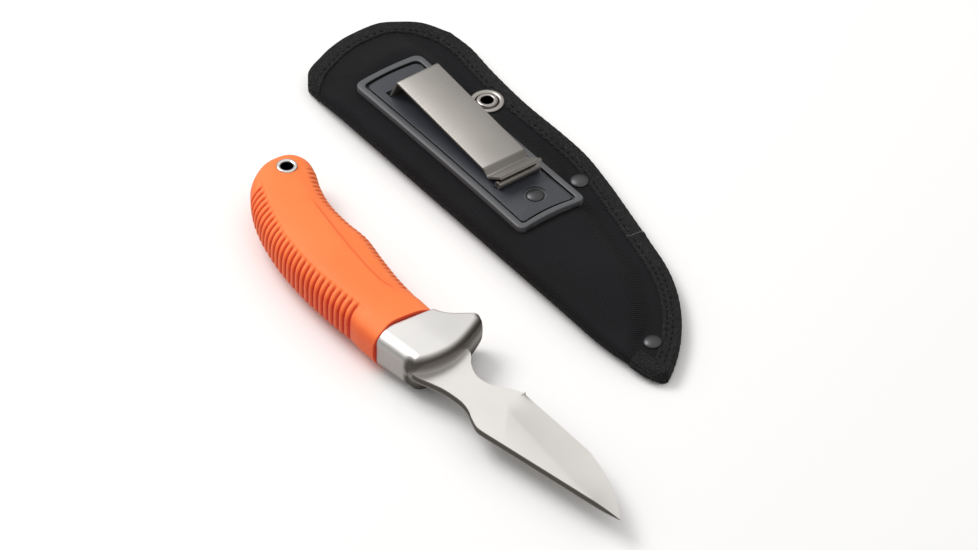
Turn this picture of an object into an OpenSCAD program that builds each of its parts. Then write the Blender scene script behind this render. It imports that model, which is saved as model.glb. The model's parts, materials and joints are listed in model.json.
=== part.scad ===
// Rigging knife with its belt-clip sheath, laid side by side as they are sold.
// The knife lies on the -Y side and the sheath on the +Y side, both flat on z = 0.
// +X runs from the butt of the knife, and from the mouth of the sheath, towards the tips.

/* [Blade] */
// Length of the blade in front of the bolster
blade_len = 107; // [95:1:120]
// Thickness of the blade and of its hidden tang
blade_t = 3; // [2.5:0.5:4]
// Thickness left at the cutting edge
edge_t = 0.3; // [0.2:0.1:0.5]
// Width of the ground bevel, from the cutting edge to the grind line
bevel_w = 14; // [11:0.5:15]

/* [Bolster] */
// Length of the bolster along the knife
bolster_len = 26; // [24:0.5:30]
// Thickness of the bolster at the grip
bolster_t = 16; // [14:0.5:17]
// Radius of the bolster's rounded spine side
bolster_round = 6.5; // [4:0.5:6.5]
// Diameter of the two pins through the bolster and the tang
bolster_pin_d = 3; // [2:0.5:3.5]

/* [Handle] */
// Length of the grip, from the bolster to the butt
handle_len = 105.5; // [100:0.5:112]
// Greatest thickness of the grip
handle_t = 21; // [20:0.5:23]
// Thickness of the hard core under the grip
core_t = 11; // [9:0.5:12]
// Diameter of the two pins through the core and the tang
core_pin_d = 4; // [3:0.5:4]
// Outer diameter of the lanyard tube
lanyard_od = 6; // [5.5:0.5:6.5]
// Inner diameter of the lanyard tube
lanyard_id = 4.4; // [4:0.1:4.6]

/* [Sheath] */
// Overall thickness of the empty pouch
pouch_t = 8.6; // [8.6:0.2:11]
// Thickness of the nylon cover
cover_t = 0.7; // [0.6:0.1:0.8]
// Thickness of the foam padding
padding_t = 1; // [0.8:0.1:1]
// Thickness of the nylon lining
lining_t = 0.5; // [0.4:0.1:0.5]
// Width of the flat sewn margin along the seam
margin_w = 17.5; // [17.5:0.25:18.5]
// Width of the binding tape that shows on each side
binding_w = 6.5; // [6:0.5:7]
// Thickness of the binding tape
binding_t = 0.7; // [0.5:0.1:0.8]
// Thickness of each side of the plastic blade liner
liner_t = 0.9; // [0.6:0.1:0.9]

/* [Fittings] */
// Diameter of the eyelet's flange
eyelet_flange_d = 13.3; // [12:0.1:14]
// Diameter of the hole through the eyelet
eyelet_hole_d = 4.8; // [4:0.1:5]
// Diameter of the caps on the seam rivets
cap_d = 7.5; // [6.5:0.1:8]
// Diameter of the rivet shanks
shank_d = 3; // [2.5:0.1:3.2]

/* [Clip] */
// Length of the moulded backing plate
plate_len = 105; // [104:0.5:108]
// Width of the moulded backing plate
plate_w = 30.5; // [29:0.5:32]
// Thickness of the plate inside its rim
plate_t = 2.1; // [1.9:0.1:2.4]
// Width of the spring-steel strip
clip_w = 19; // [17:0.5:20]
// Thickness of the spring-steel strip
clip_t = 1.1; // [0.9:0.1:1.1]
// Height of the clip's top bend above the plate
clip_rise = 9; // [8:0.5:11]

/* [Layout] */
// Yaw of the knife beside the sheath
knife_yaw = -4.1; // [-6:0.1:0]

/* [Hidden] */
$fn = 48;

// Length, width and height of one stitch
stitch = [2.4, 0.5, 0.25];

// Where the knife's and the sheath's own corners sit in the part's frame
knife_at = [10.93, -50.67, handle_t / 2];
sheath_at = [-143.47, 6.53, binding_t + stitch[2]];

// ---- curves -----------------------------------------------------------------

// One point of a Catmull-Rom curve between b and c
function catmull(a, b, c, d, t) =
    0.5 * (2 * b + (c - a) * t + (2 * a - 5 * b + 4 * c - d) * t * t
    + (3 * b - a - 3 * c + d) * t * t * t);

// A smooth open curve through the points p, with n steps to each span
function smooth(p, n) =
    let (last = len(p) - 1)
    concat([for (i = [0:last - 1], k = [0:n - 1])
        catmull(p[max(i - 1, 0)], p[i], p[i + 1], p[min(i + 2, last)], k / n)],
        [p[last]]);

// An arc of n steps about c, from angle a0 to angle a1
function arc(c, r, a0, a1, n) =
    [for (k = [0:n]) c + r * [cos(a0 + (a1 - a0) * k / n), sin(a0 + (a1 - a0) * k / n)]];

// ---- knife: own axes run from the back of the bolster (x = 0) to the tip -------

// Lengths of the blade's curves follow blade_len, whose drawn value is 107
blade_k = blade_len / 107;
function on_blade(p) = [for (q = p) [bolster_len - 0.5 + q[0] * blade_k, q[1]]];

belly_r = 87.6;
belly_from = [64.5, 20 - belly_r];
tip_angle = 61;

neck_edge_side = smooth([[-1, 12.4], [4.5, 9.3], [9.5, 7.5], [14, 7.4], [19, 9], [24, 14.4],
                         [28.5, 16.7]], 4);
cutting_edge = concat([[29.5, 17.6], [47.5, 19.2]], arc(belly_from, belly_r, 90, tip_angle, 12));
neck_spine_side = smooth([[40, -7.5], [36, -8], [31, -7.2], [26, -5.7], [21, -5.3], [16, -6],
                          [11, -7.2], [6, -9.2], [-1, -12]], 4);

// Grind line: where the bevel meets the flat of the blade
function grind_point(p) =
    let (along = max(0, (p[0] - 64.5) / 42.5))
    [p[0] + 1.5 - 4 * along, p[1] - bevel_w + (bevel_w - 2.2) * pow(along, 1.6)];

root_back = 18;
tang_y = -2.5;
tang_end = -78;
tang_w = [12, 8];
bolster_pin_x = 9;
bolster_pin_y = [-6, 1];
core_pin_x = [-20, -52];

tang_plan = [[root_back, tang_y - tang_w[0] / 2], [0, tang_y - tang_w[0] / 2],
             [tang_end, tang_y - tang_w[1] / 2], [tang_end, tang_y + tang_w[1] / 2],
             [0, tang_y + tang_w[0] / 2], [root_back, tang_y + tang_w[0] / 2]];

// The blade, its square root that fills the recess in the bolster, and the narrow tang
module blade_outline() {
    polygon(concat([[root_back, 12.4]],
                   on_blade(concat(neck_edge_side, cutting_edge, neck_spine_side)),
                   [[root_back, -12]], tang_plan));
}

// The slot through the bolster: as wide as the root in front and as the tang behind
module bolster_slot() {
    polygon(concat([[root_back, 12.4], [bolster_len + 5, 12.4], [bolster_len + 5, -12],
                    [root_back, -12]], tang_plan));
}

// A wedge that cuts one bevel: a ruled strip from the grind line out past the edge
module bevel_cutter() {
    line = concat([[28.9, 17.4], [46, 19.1]], arc(belly_from, belly_r, 89.2, tip_angle - 0.3, 11));
    edge = on_blade(line);
    grind = on_blade([for (p = line) grind_point(p)]);
    n = len(edge);
    reach = 1.1;
    top = blade_t;
    function out(i) = grind[i] + (edge[i] - grind[i]) * reach;
    function drop() = blade_t / 2 - (blade_t - edge_t) / 2 * reach;
    points = concat(
        [for (i = [0:n - 1]) [grind[i][0], grind[i][1], blade_t / 2]],
        [for (i = [0:n - 1]) [out(i)[0], out(i)[1], drop()]],
        [for (i = [0:n - 1]) [out(i)[0], out(i)[1], top]],
        [for (i = [0:n - 1]) [grind[i][0], grind[i][1], top]]);
    faces = concat(
        [for (i = [0:n - 2], r = [0:3], h = [0:1])
            let (a = r * n + i, b = ((r + 1) % 4) * n + i)
            h == 0 ? [a, b + 1, b] : [a, a + 1, b + 1]],
        [[0, n, 2 * n, 3 * n], [n - 1, 4 * n - 1, 3 * n - 1, 2 * n - 1]]);
    polyhedron(points, faces);
}

module blade() {
    color("gainsboro") knife() difference() {
        translate([0, 0, -blade_t / 2]) linear_extrude(blade_t) blade_outline();
        bevel_cutter();
        mirror([0, 0, 1]) bevel_cutter();
        bolster_pin_holes();
        core_pin_holes();
    }
}

module knife() {
    translate(knife_at) rotate([0, 0, knife_yaw]) children();
}

module bolster_pin_holes() {
    for (y = bolster_pin_y) translate([bolster_pin_x, y, 0])
        cylinder(h = bolster_t + 2, d = bolster_pin_d, center = true);
}

module core_pin_holes() {
    for (x = core_pin_x) translate([x, tang_y, 0])
        cylinder(h = core_t + 2, d = core_pin_d, center = true);
}

// Plan of the bolster, with the finger guard swept up on the edge side
bolster_k = bolster_len / 26;
guard_plan = concat([[0, -17], [21.5, -13.2]],
    smooth([[24.6, -12], [26, -4], [25.4, 4], [23, 10.8], [19.3, 17.4], [15.6, 22.4],
            [12.9, 24.3], [10.8, 23.2], [9.2, 20], [7, 15.6], [4, 12.2], [0, 10.4]], 3));
spine_taper = atan((17 - 13.2) / 21.5);

// Half of the bolster's cross-section, from the rounded spine side to the thin guard
module bolster_section() {
    half = bolster_t / 2;
    side = arc([bolster_round, half - bolster_round], bolster_round, 180, 90, 6);
    upper = concat([[0, 0]], side, [[25, half], [34, half - 1.4], [46, half - 4]]);
    lower = [for (i = [len(upper) - 1:-1:1]) [upper[i][0], -upper[i][1]]];
    polygon(concat(upper, lower));
}

module bolster() {
    color("silver") knife() difference() {
        intersection() {
            translate([0, 0, -bolster_t]) linear_extrude(2 * bolster_t)
                polygon([for (p = guard_plan) [p[0] * bolster_k, p[1]]]);
            translate([0, -17, 0]) rotate([0, 0, spine_taper]) translate([-10, 0, 0])
                rotate([90, 0, 90]) linear_extrude(bolster_len + 20) bolster_section();
        }
        translate([0, 0, -blade_t / 2]) linear_extrude(blade_t) bolster_slot();
        bolster_pin_holes();
    }
}

module bolster_pins() {
    color("silver") knife() for (y = bolster_pin_y) translate([bolster_pin_x, y, 0])
        cylinder(h = bolster_t, d = bolster_pin_d, center = true);
}

// Rows of the grip: place along the handle, lower side, upper side and half thickness.
// The drawn length is 105.5 and the drawn half thickness 10.5.
handle_k = [handle_len / 105.5, 1, 1, handle_t / 21];
grip_rows = [[-105.5, 5.5, 10.5, 2], [-104.6, 1.5, 14.5, 5], [-102, -3.2, 17.4, 6.9],
             [-98, -7.6, 19, 7.7], [-92, -11.6, 18.6, 8], [-83, -15.4, 15.4, 8.4],
             [-72, -18.2, 13, 9.2], [-59, -20.2, 12.7, 10.1], [-47, -20.9, 13.8, 10.5],
             [-35, -20.8, 12.5, 10.4], [-22, -20, 11.4, 10], [-10, -18.6, 11.4, 9.5],
             [0, -17.4, 12, 9.2]];
grip_power = 2.6;
grip_sides = 32;

// A signed power, which gives the grip its rounded-square section
function spow(v, e) = sign(v) * pow(abs(v), e);

module grip_solid() {
    rows = [for (r = smooth(grip_rows, 2))
        [r[0] * handle_k[0], r[1], r[2], r[3] * handle_k[3]]];
    n = len(rows);
    points = [for (r = rows, k = [0:grip_sides - 1])
        let (a = 360 * k / grip_sides, e = 2 / grip_power)
        [r[0], (r[1] + r[2]) / 2 + (r[2] - r[1]) / 2 * spow(cos(a), e), r[3] * spow(sin(a), e)]];
    side_faces = [for (i = [0:n - 2], k = [0:grip_sides - 1], h = [0:1])
        let (a = i * grip_sides + k, b = i * grip_sides + (k + 1) % grip_sides)
        h == 0 ? [a, b, b + grip_sides] : [a, b + grip_sides, a + grip_sides]];
    ends = [[for (k = [grip_sides - 1:-1:0]) k],
            [for (k = [0:grip_sides - 1]) (n - 1) * grip_sides + k]];
    polyhedron(points, concat(side_faces, ends));
}

lanyard_at = [-95.6 * handle_k[0], 7.8];
lanyard_half = 8.3 * handle_k[3];
lanyard_flare = 1;

// The tube with its flared ends, before it is bored
module lanyard_body() {
    translate(lanyard_at) {
        cylinder(h = 2 * lanyard_half, d = lanyard_od, center = true);
        for (s = [0, 1]) mirror([0, 0, s]) translate([0, 0, lanyard_half - lanyard_flare])
            cylinder(h = lanyard_flare, d1 = lanyard_od, d2 = lanyard_od + 2 * lanyard_flare);
    }
}

module lanyard_tube() {
    color("silver") knife() difference() {
        lanyard_body();
        translate(lanyard_at) cylinder(h = 30, d = lanyard_id, center = true);
    }
}

core_plan = smooth([[0, 6.5], [-22, 6], [-47, 8], [-72, 8], [-88, 12], [-96, 13], [-100.5, 8],
                    [-97, 0], [-86, -9], [-70, -13], [-47, -15.5], [-20, -15], [0, -12.5]], 3);

module core_body() {
    translate([0, 0, -core_t / 2]) linear_extrude(core_t)
        polygon([for (p = core_plan) [p[0] * handle_k[0], p[1]]]);
}

module handle_core() {
    color("dimgray") knife() difference() {
        core_body();
        translate([0, 0, -blade_t / 2]) linear_extrude(blade_t) polygon(tang_plan);
        core_pin_holes();
        lanyard_body();
    }
}

module core_pins() {
    color("silver") knife() for (x = core_pin_x) translate([x, tang_y, 0])
        cylinder(h = core_t, d = core_pin_d, center = true);
}

module handle_grip() {
    color("darkorange") knife() difference() {
        grip_solid();
        core_body();
        lanyard_body();
    }
}

// ---- sheath: own axes run from the mouth (x = 0), with the fold along y = 0 ------

wall_t = cover_t + padding_t + lining_t;
fold_r = pouch_t / 2;
seam_gap = 0.1;
seam_t = 2 * wall_t + seam_gap;
slope_w = 3;

mouth_edge = smooth([[14, 0], [5.2, 12], [0.9, 30], [1.6, 44.3], [9.5, 55.4], [22, 61], [34, 61.7],
                     [50, 60], [72, 58.9], [95, 59.5], [111, 59]], 5);

// The seam runs straight down from seam_from, then round the tip on a tangent arc
seam_from = [131, 55.6];
tip_c = [151.8, -41.2];
tip_r = 90;
from_tip_c = seam_from - tip_c;
tangent_angle = atan2(from_tip_c[1], from_tip_c[0]) - acos(tip_r / norm(from_tip_c));
seam_fall = 90 - tangent_angle;
tip_arc = arc(tip_c, tip_r, tangent_angle, 34.6, 18);
tip_return = [[225.4, 7.5], [223.5, 5], [215, 3], [206, 1.3], [196, 0.3], [188, 0]];

module fabric_outline() {
    polygon(concat(mouth_edge, [seam_from], tip_arc, tip_return));
}

// Straight runs that the seam follows: a point on each, and how steeply it falls
tip_turn = 14;
seam_runs = concat([[[0, 59], 0], [seam_from, seam_fall]],
                   [for (k = [1:2]) let (a = tangent_angle - tip_turn * k)
                       [tip_c + tip_r * [cos(a), sin(a)], 90 - a]]);

// The pouch's inside at depth d below the outer faces, the fold and the seam slopes.
// It runs on past the fabric outline on three sides, and further still by the length over.
module pouch(d, runs = seam_runs, over = 0) {
    top = pouch_t - d;
    difference() {
        translate([-5 - over, 0, 0]) rotate([90, 0, 90]) linear_extrude(240 + 2 * over)
            polygon(concat(arc([fold_r, fold_r], fold_r - d, 270, 90, 12),
                           [[75 + over, top], [75 + over, d]]));
        for (run = runs) translate([run[0][0], run[0][1], 0]) rotate([0, 0, -run[1]])
            seam_relief(top, seam_t - d);
    }
}

// The wedge of space above the sewn margin, along a straight run of seam at y = 0
module seam_relief(top, low) {
    length = 600;
    translate([-length / 2, 0, 0]) rotate([90, 0, 90]) linear_extrude(length)
        polygon([[-margin_w - slope_w, top], [-margin_w, low], [90, low], [90, pouch_t + 5],
                 [-margin_w - slope_w, pouch_t + 5]]);
}

// One layer of the folded pouch wall, between depths a and b
module layer(a, b) {
    intersection() {
        difference() {
            pouch(a);
            pouch(b, over = 1);
        }
        translate([0, 0, -5]) linear_extrude(pouch_t + 10) fabric_outline();
    }
}

module sheath() {
    translate(sheath_at) children();
}

hole_gap = 0.1;
eyelet_wall = 0.8;
eyelet_at = [62, 48.6];
seam_rivet_at = [[119.5, 48.9], [209.5, 15.5]];
plate_from = 30.3;
plate_y = 25.2;
plate_rivet_at = [[60, plate_y], [121.4, plate_y + 1.6]];

// Every hole that the fittings need through the fabric
module fabric_holes() {
    translate([eyelet_at[0], eyelet_at[1], -5])
        cylinder(h = 30, d = eyelet_hole_d + 2 * eyelet_wall + hole_gap);
    for (p = seam_rivet_at) translate([p[0], p[1], -5]) cylinder(h = 30, d = shank_d + hole_gap);
    for (p = plate_rivet_at) translate([p[0], p[1], fold_r])
        cylinder(h = 30, d = shank_d + hole_gap);
}

module sheath_cover() {
    color([0.13, 0.13, 0.14]) sheath() difference() {
        layer(0, cover_t);
        fabric_holes();
    }
}

module foam_padding() {
    color([0.45, 0.45, 0.47]) sheath() difference() {
        layer(cover_t, cover_t + padding_t);
        fabric_holes();
    }
}

module sheath_lining() {
    color([0.2, 0.2, 0.22]) sheath() difference() {
        layer(cover_t + padding_t, wall_t);
        fabric_holes();
    }
}

// The plastic liner stays inside the full-height part of the pouch
liner_gap = 1.2;
liner_plan = concat([[98, 4.6], [98, 34], [131, 33], [172, 23.5]],
                    arc(tip_c, tip_r - margin_w - slope_w - 1.5, 72, 54, 5), [[196, 4.6]]);

module blade_liner() {
    height = 2 * liner_t + liner_gap;
    color([0.3, 0.3, 0.32]) sheath() translate([0, 0, wall_t]) difference() {
        linear_extrude(height) polygon(liner_plan);
        translate([90, 4.6 + liner_t, liner_t]) cube([130, 50, liner_gap]);
    }
}

// The plan of the binding tape: a band along the outline, as tall as a block of height h
module tape_band(mask, h) {
    intersection() {
        difference() {
            linear_extrude(h) offset(delta = binding_t) fabric_outline();
            translate([0, 0, -1]) linear_extrude(h + 2) offset(delta = -binding_w)
                fabric_outline();
        }
        translate([0, 0, -1]) linear_extrude(h + 2) polygon(mask);
    }
}

// Binding tape round the flat sewn margin: it lies on both faces and turns over the edge
module margin_binding(mask) {
    difference() {
        translate([0, 0, -binding_t]) tape_band(mask, seam_t + 2 * binding_t);
        linear_extrude(seam_t) fabric_outline();
    }
}

// Where the tape of the mouth meets that of the seam, and that of the seam the tip's
tape_start = eyelet_at[0] + 9;
tape_joint = 157;

// The mouth is bound round the full height of the pouch, which stays open inside
module mouth_binding() {
    straight_run = [seam_runs[0]];
    color([0.1, 0.1, 0.11]) sheath() difference() {
        intersection() {
            pouch(-binding_t, straight_run);
            translate([0, 0, -5]) tape_band([[-5, -5], [16, -5], [16, 30], [tape_start, 35],
                                             [tape_start, 70], [-5, 70]], pouch_t + 10);
        }
        intersection() {
            pouch(0, straight_run);
            translate([0, 0, -6]) linear_extrude(pouch_t + 12) fabric_outline();
        }
        pouch(wall_t, straight_run);
        translate([eyelet_at[0], eyelet_at[1], -5]) cylinder(h = 30, d = eyelet_flange_d + 0.4);
    }
}

module seam_binding() {
    color([0.1, 0.1, 0.11]) sheath() difference() {
        margin_binding([[tape_start + 0.1, 35], [tape_joint - 4, 35], [tape_joint, 70],
                        [tape_start + 0.1, 70]]);
        translate([seam_rivet_at[0][0], seam_rivet_at[0][1], -5])
            cylinder(h = 30, d = cap_d + 0.4);
    }
}

module tip_binding() {
    color([0.1, 0.1, 0.11]) sheath() difference() {
        margin_binding([[tape_joint - 3.9, 35], [200, 14], [213, 8], [213, -5], [235, -5],
                        [235, 70], [tape_joint + 0.1, 70]]);
        translate([seam_rivet_at[1][0], seam_rivet_at[1][1], -5])
            cylinder(h = 30, d = cap_d + 0.4);
    }
}

stitch_inset = 4.6;

// One visible thread on each face of the tape, at p, lying along angle a
module stitch_pair(p, a) {
    for (z = [-binding_t - stitch[2], seam_t + binding_t]) translate([p[0], p[1], z])
        rotate([0, 0, a]) translate([-stitch[0] / 2, -stitch[1] / 2, 0]) cube(stitch);
}

module binding_thread() {
    step = 4.2;
    color([0.06, 0.06, 0.07]) sheath() {
        for (a = [33:2.8:73]) stitch_pair(tip_c + (tip_r - stitch_inset) * [cos(a), sin(a)], a + 90);
        for (k = [1:8]) stitch_pair(seam_from + k * step * [cos(seam_fall), -sin(seam_fall)]
            - stitch_inset * [sin(seam_fall), cos(seam_fall)], -seam_fall);
        for (x = [72:step:108]) stitch_pair([x, 59 - stitch_inset], 0);
    }
}

eyelet_lip = 0.9;
washer_t = 0.65;

// The eyelet's barrel: a flange with a rolled ring on top and a tube down to the washer
module eyelet_barrel() {
    r0 = eyelet_hole_d / 2;
    r1 = eyelet_flange_d / 2;
    color("lightgray") sheath() translate([eyelet_at[0], eyelet_at[1], 0]) {
        rotate_extrude() polygon([[r0, -washer_t], [r0 + eyelet_wall, -washer_t],
            [r0 + eyelet_wall, seam_t], [r1, seam_t], [r1, seam_t + eyelet_lip],
            [r1 - 1.2, seam_t + eyelet_lip + 0.5], [r1 - 2.4, seam_t + eyelet_lip],
            [r0 + 1.4, seam_t + eyelet_lip], [r0 + 0.7, seam_t + eyelet_lip + 0.6],
            [r0, seam_t + eyelet_lip]]);
    }
}

// The flat ring on the front of the sheath that the barrel is clenched into
module eyelet_washer() {
    r0 = eyelet_hole_d / 2 + eyelet_wall;
    r1 = eyelet_flange_d / 2;
    color("lightgray") sheath() translate([eyelet_at[0], eyelet_at[1], -washer_t])
        rotate_extrude() polygon([[r0, 0], [r1, 0], [r1, washer_t], [r0, washer_t]]);
}

cap_h = 1.5;

// A low domed cap: the upper slice of a ball
module dome(d, h) {
    ball = (d * d / 4 + h * h) / (2 * h);
    intersection() {
        translate([0, 0, h - ball]) sphere(r = ball);
        cylinder(h = h, d = d);
    }
}

module seam_rivet_posts() {
    base_t = 0.65;
    color("slategray") sheath() for (p = seam_rivet_at) translate([p[0], p[1], 0]) {
        translate([0, 0, -base_t]) cylinder(h = base_t, d = cap_d);
        cylinder(h = seam_t + 0.5, d = shank_d);
    }
}

module seam_rivet_caps() {
    color("slategray") sheath() for (p = seam_rivet_at) translate([p[0], p[1], seam_t])
        difference() {
            dome(cap_d, cap_h);
            cylinder(h = 0.5, d = shank_d);
        }
}

// ---- clip -------------------------------------------------------------------------

clip_y = plate_y + 1.6;
plate_z = pouch_t;
panel_z = plate_z + plate_t;
rim_h = 0.5;
slot_a_x = 41.2;
slot_b_x = 108.7;
slot_b_w = 1.7;
slot_len = clip_w + 0.8;
leaf_z = plate_z + clip_t / 2;
bend_at = [47.6, panel_z + clip_rise];
recess_d = 9;
recess_h = 0.6;
inner_washer_t = 0.6;

plate_arc_r = 130;

module plate_outline(inset) {
    x0 = plate_from + inset;
    x1 = plate_from + plate_len - inset;
    y0 = plate_y - plate_w / 2 + inset;
    y1 = plate_y + plate_w / 2 - inset;
    bow = plate_arc_r - sqrt(plate_arc_r * plate_arc_r - plate_w * plate_w / 4);
    corner = 3.2 - inset * 0.5;
    polygon(concat(
        arc([x0 + bow + corner, y0 + corner], corner, 265, 185, 4),
        [[x0 + 0.2, plate_y - 5], [x0 + 0.2, plate_y + 5]],
        arc([x0 + bow + corner, y1 - corner], corner, 175, 95, 4),
        arc([x1 - corner + 1, y1 - corner], corner, 88, 0, 4),
        [[x1 + 0.2, plate_y + 5], [x1 + 0.2, plate_y - 5]],
        arc([x1 - corner + 1, y0 + corner], corner, 0, -88, 4)));
}

module clip_plate() {
    rim_w = 2.6;
    groove_w = 0.8;
    color([0.32, 0.34, 0.38]) sheath() difference() {
        translate([0, 0, plate_z]) linear_extrude(plate_t + rim_h) plate_outline(0);
        translate([0, 0, panel_z]) linear_extrude(5) plate_outline(rim_w);
        translate([0, 0, panel_z - 0.8]) linear_extrude(5) difference() {
            plate_outline(rim_w);
            plate_outline(rim_w + groove_w);
        }
        translate([slot_a_x - 0.4, clip_y - slot_len / 2, plate_z - 1]) cube([3.6, slot_len, 9]);
        translate([slot_b_x, clip_y - slot_len / 2, plate_z - 1]) cube([slot_b_w, slot_len, 9]);
        translate([slot_a_x, clip_y - slot_len / 2, plate_z - 1])
            cube([slot_b_x - slot_a_x, slot_len, clip_t + 1.05]);
        for (p = plate_rivet_at) translate([p[0], p[1], plate_z - 1])
            cylinder(h = 9, d = shank_d + hole_gap);
        translate([plate_rivet_at[1][0], plate_rivet_at[1][1], panel_z - recess_h])
            cylinder(h = 9, d = recess_d);
    }
}

// Rivets that hold the plate to the back of the pouch; the first also pins the back leaf
module plate_rivets() {
    foot = pouch_t - wall_t - inner_washer_t - 0.3;
    color("slategray") sheath() for (i = [0, 1]) let (p = plate_rivet_at[i],
            seat = i == 0 ? panel_z : panel_z - recess_h)
        translate([p[0], p[1], 0]) {
            translate([0, 0, seat]) dome(i == 0 ? 6 : 7.2, i == 0 ? 0.5 : 1.2);
            translate([0, 0, foot]) cylinder(h = seat - foot, d = shank_d);
        }
}

module plate_rivet_washers() {
    color("lightgray") sheath() for (p = plate_rivet_at)
        translate([p[0], p[1], pouch_t - wall_t - inner_washer_t]) difference() {
            cylinder(h = inner_washer_t, d = 8);
            translate([0, 0, -1]) cylinder(h = inner_washer_t + 2, d = shank_d + hole_gap);
        }
}

// The direction in which point i of a path is offset, so that both of its runs keep their
// thickness
function unit(v) = v / norm(v);
function mitre(p, i) =
    let (before = unit(p[max(i, 1)] - p[max(i, 1) - 1]),
         after = unit(p[min(i, len(p) - 2) + 1] - p[min(i, len(p) - 2)]),
         along = unit(before + after))
    [-along[1], along[0]] / (along * before);

// A strip of the clip: one section round a path in the XZ plane, as wide as the clip
module strip(path) {
    half = clip_t / 2;
    translate([0, clip_y + clip_w / 2, 0]) rotate([90, 0, 0]) linear_extrude(clip_w)
        polygon(concat([for (i = [0:len(path) - 1]) path[i] - half * mitre(path, i)],
                       [for (i = [len(path) - 1:-1:0]) path[i] + half * mitre(path, i)]));
}

curl_r = 1.5;
curl_mid = curl_r - clip_t / 2;
curl_at = [slot_b_x + slot_b_w / 2 + curl_mid, panel_z + curl_r + 0.02];
foot_at = [slot_a_x + 1.4, leaf_z];
bend_r = clip_t / 2 + 0.15;
hinge_gap = 0.2;

module clip_back_leaf() {
    color([0.62, 0.6, 0.57]) sheath() difference() {
        strip(concat([bend_at + (bend_r + hinge_gap) * unit(foot_at - bend_at), foot_at,
                      [curl_at[0] - curl_mid, leaf_z]], arc(curl_at, curl_mid, 180, -95, 11)));
        translate([plate_rivet_at[0][0], plate_rivet_at[0][1], plate_z - 1])
            cylinder(h = 9, d = shank_d + hole_gap);
    }
}

module clip_front_leaf() {
    valley_z = panel_z + clip_t / 2 + 0.4;
    color([0.7, 0.68, 0.65]) sheath() {
        strip([bend_at, [101.4, valley_z + 2.5], [104, valley_z], [112.6, valley_z + 5.5]]);
        translate([bend_at[0], clip_y + clip_w / 2, bend_at[1]]) rotate([90, 0, 0])
            cylinder(h = clip_w, r = bend_r);
    }
}

blade();
bolster();
bolster_pins();
handle_core();
core_pins();
handle_grip();
lanyard_tube();
sheath_cover();
foam_padding();
sheath_lining();
blade_liner();
mouth_binding();
seam_binding();
tip_binding();
binding_thread();
eyelet_barrel();
eyelet_washer();
seam_rivet_posts();
seam_rivet_caps();
clip_plate();
plate_rivets();
plate_rivet_washers();
clip_back_leaf();
clip_front_leaf();
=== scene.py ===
"""Looks of the rigging knife and its belt-clip sheath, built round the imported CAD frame.

Lengths are millimetres in two sets of axes, the knife's own and the sheath's own. piece() turns
them into the metres of the frame.
"""
import json
import math

import bmesh
import bpy
import numpy as np
from mathutils import Matrix, Vector


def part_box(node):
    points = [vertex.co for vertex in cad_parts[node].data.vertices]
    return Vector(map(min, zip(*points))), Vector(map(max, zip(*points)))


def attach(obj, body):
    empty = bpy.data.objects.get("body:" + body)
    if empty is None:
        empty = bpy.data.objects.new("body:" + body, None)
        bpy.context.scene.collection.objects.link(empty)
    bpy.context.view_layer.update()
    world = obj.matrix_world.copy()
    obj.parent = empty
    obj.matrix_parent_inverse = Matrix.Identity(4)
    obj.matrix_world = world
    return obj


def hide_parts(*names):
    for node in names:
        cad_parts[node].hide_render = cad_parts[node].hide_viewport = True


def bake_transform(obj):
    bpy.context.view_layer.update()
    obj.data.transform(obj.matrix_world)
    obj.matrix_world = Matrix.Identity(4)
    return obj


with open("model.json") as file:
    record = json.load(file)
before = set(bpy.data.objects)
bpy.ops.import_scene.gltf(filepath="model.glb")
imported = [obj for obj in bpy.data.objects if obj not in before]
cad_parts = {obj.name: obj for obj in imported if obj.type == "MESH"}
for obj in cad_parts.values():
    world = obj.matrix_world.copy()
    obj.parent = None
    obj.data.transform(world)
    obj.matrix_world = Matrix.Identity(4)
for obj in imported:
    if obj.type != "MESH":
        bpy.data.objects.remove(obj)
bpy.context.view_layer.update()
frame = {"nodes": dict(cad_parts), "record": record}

# ---- axes ----

MM = 0.001


def mount_at(name):
    return Vector(next(m for m in frame["record"]["mounts"] if m["name"] == name)["pos_m"]) / MM


# the two mounts, in the knife's own axes and in the sheath's own axes
LANYARD = Vector((-95.6, 7.8, 0))
EYELET = Vector((62, 48.6, 0))
KNIFE_YAW = math.radians(-4.1)
turned = Matrix.Rotation(KNIFE_YAW, 4, "Z")
knife_origin = mount_at("lanyard_hole") - turned @ LANYARD
sheath_origin = mount_at("tie_down_eyelet") - EYELET
sheath_origin.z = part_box("sheath_cover")[0].z / MM
to_metres = Matrix.Scale(MM, 4)
AXES = {"knife": to_metres @ Matrix.Translation(knife_origin) @ turned,
        "sheath": to_metres @ Matrix.Translation(sheath_origin)}

# ---- curves and small functions ----


def catmull(points, steps):
    """A smooth open curve through points, with steps spans between each two."""
    p = np.array(points, float)
    p = np.vstack([2 * p[0] - p[1], p, 2 * p[-1] - p[-2]])
    out = []
    for a, b, c, d in zip(p, p[1:], p[2:], p[3:]):
        for t in np.arange(steps) / steps:
            out.append(0.5 * (2 * b + (c - a) * t + (2 * a - 5 * b + 4 * c - d) * t ** 2
                              + (3 * b - a - 3 * c + d) * t ** 3))
    out.append(p[-2])
    return np.array(out)


def arc(centre, radius, start, end, steps):
    a = np.radians(np.linspace(start, end, steps + 1))
    return np.array(centre) + radius * np.stack([np.cos(a), np.sin(a)], 1)


def lengths(path):
    """The length along a path at each of its points."""
    return np.r_[0, np.cumsum(np.linalg.norm(np.diff(path, axis=0), axis=1))]


def look_up(path, where, at):
    """Points of a path at the places at, on a scale where each of its own points has a place."""
    return np.stack([np.interp(at, where, path[:, k]) for k in range(path.shape[1])], -1)


def resample(points, count, ease=None):
    """count points along a polyline, evenly spaced, or spaced by ease, a map of 0..1 to 0..1."""
    p = np.array(points, float)
    along = lengths(p)
    t = np.linspace(0, 1, count)
    if ease is not None:
        t = ease(t)
    return look_up(p, along, t * along[-1])


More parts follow.
